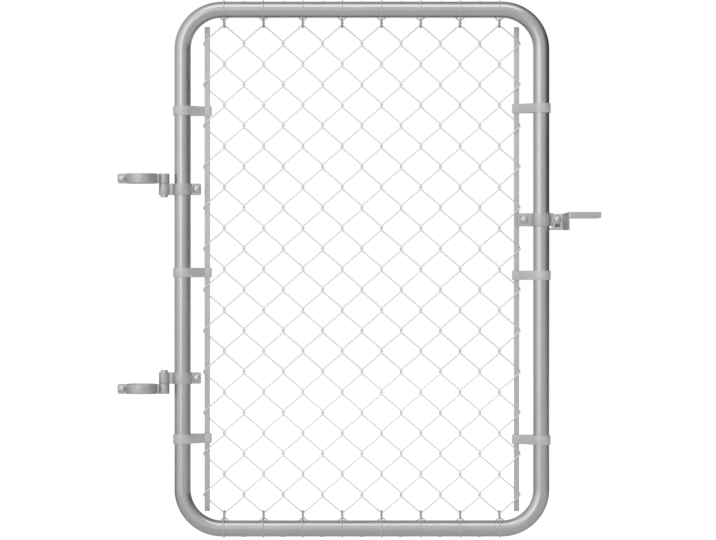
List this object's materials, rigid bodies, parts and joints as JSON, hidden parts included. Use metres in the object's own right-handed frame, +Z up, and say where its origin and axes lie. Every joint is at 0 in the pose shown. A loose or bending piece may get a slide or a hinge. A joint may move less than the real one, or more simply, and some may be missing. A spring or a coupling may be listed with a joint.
{
  "type": "chain link walk gate",
  "caption": "Chain link walk gate: a bent round tube frame with woven wire fabric, two post clamp hinges and a fork latch.",
  "frame": {"origin": "on the hinge post's axis, at mid height of the lower post clamp", "axes": "+X from the hinge post to the latch side, +Y from the front to the fabric side, +Z up along the posts"},
  "size_m": [1.037, 0.0724, 1.1586],
  "materials": {
    "galvanized_tube": "galvanized steel tube, satin with faint spangle",
    "fabric_wire": "galvanized steel wire",
    "galvanized_flat": "galvanized flat steel",
    "galvanized_fitting": "hot dip galvanized pressed steel",
    "zinc_hardware": "zinc plated steel",
    "tie_wire": "bare aluminium wire"
  },
  "bodies": {
    "post_hinges": {"lower_hinge_pin": "zinc_hardware", "lower_post_hinge_bolt": "zinc_hardware", "lower_post_hinge_nut": "zinc_hardware", "lower_post_hinge_strap": "galvanized_fitting", "upper_hinge_pin": "zinc_hardware", "upper_post_hinge_bolt": "zinc_hardware", "upper_post_hinge_nut": "zinc_hardware", "upper_post_hinge_strap": "galvanized_fitting"},
    "gate_leaf": {"bottom_rail_ties": "tie_wire", "chain_link_fabric": "fabric_wire", "gate_frame": "galvanized_tube", "latch_collar_back": "galvanized_fitting", "latch_collar_bolt": "zinc_hardware", "latch_collar_front": "galvanized_fitting", "latch_collar_nut": "zinc_hardware", "latch_pivot_bolt": "zinc_hardware", "latch_pivot_nut": "zinc_hardware", "left_lower_tension_band": "galvanized_flat", "left_middle_tension_band": "galvanized_flat", "left_tension_bar": "galvanized_flat", "left_upper_tension_band": "galvanized_flat", "lower_gate_hinge_bolt": "zinc_hardware", "lower_gate_hinge_nut": "zinc_hardware", "lower_gate_hinge_strap": "galvanized_fitting", "right_lower_tension_band": "galvanized_flat", "right_middle_tension_band": "galvanized_flat", "right_tension_bar": "galvanized_flat", "right_upper_tension_band": "galvanized_flat", "top_rail_ties": "tie_wire", "upper_gate_hinge_bolt": "zinc_hardware", "upper_gate_hinge_nut": "zinc_hardware", "upper_gate_hinge_strap": "galvanized_fitting"},
    "fork": {"latch_fork": "galvanized_fitting"}
  },
  "joints": [
    {"name": "gate_swing", "type": "hinge", "parent": "post_hinges", "child": "gate_leaf", "pos_m": [0.0488, 0, 0.0232], "axis": [0, 0, 1], "range_deg": [-90, 90]},
    {"name": "latch_lift", "type": "hinge", "parent": "gate_leaf", "child": "fork", "pos_m": [0.8938, 0, 0.3635], "axis": [0, -1, 0], "range_deg": [0, 90]}
  ]
}
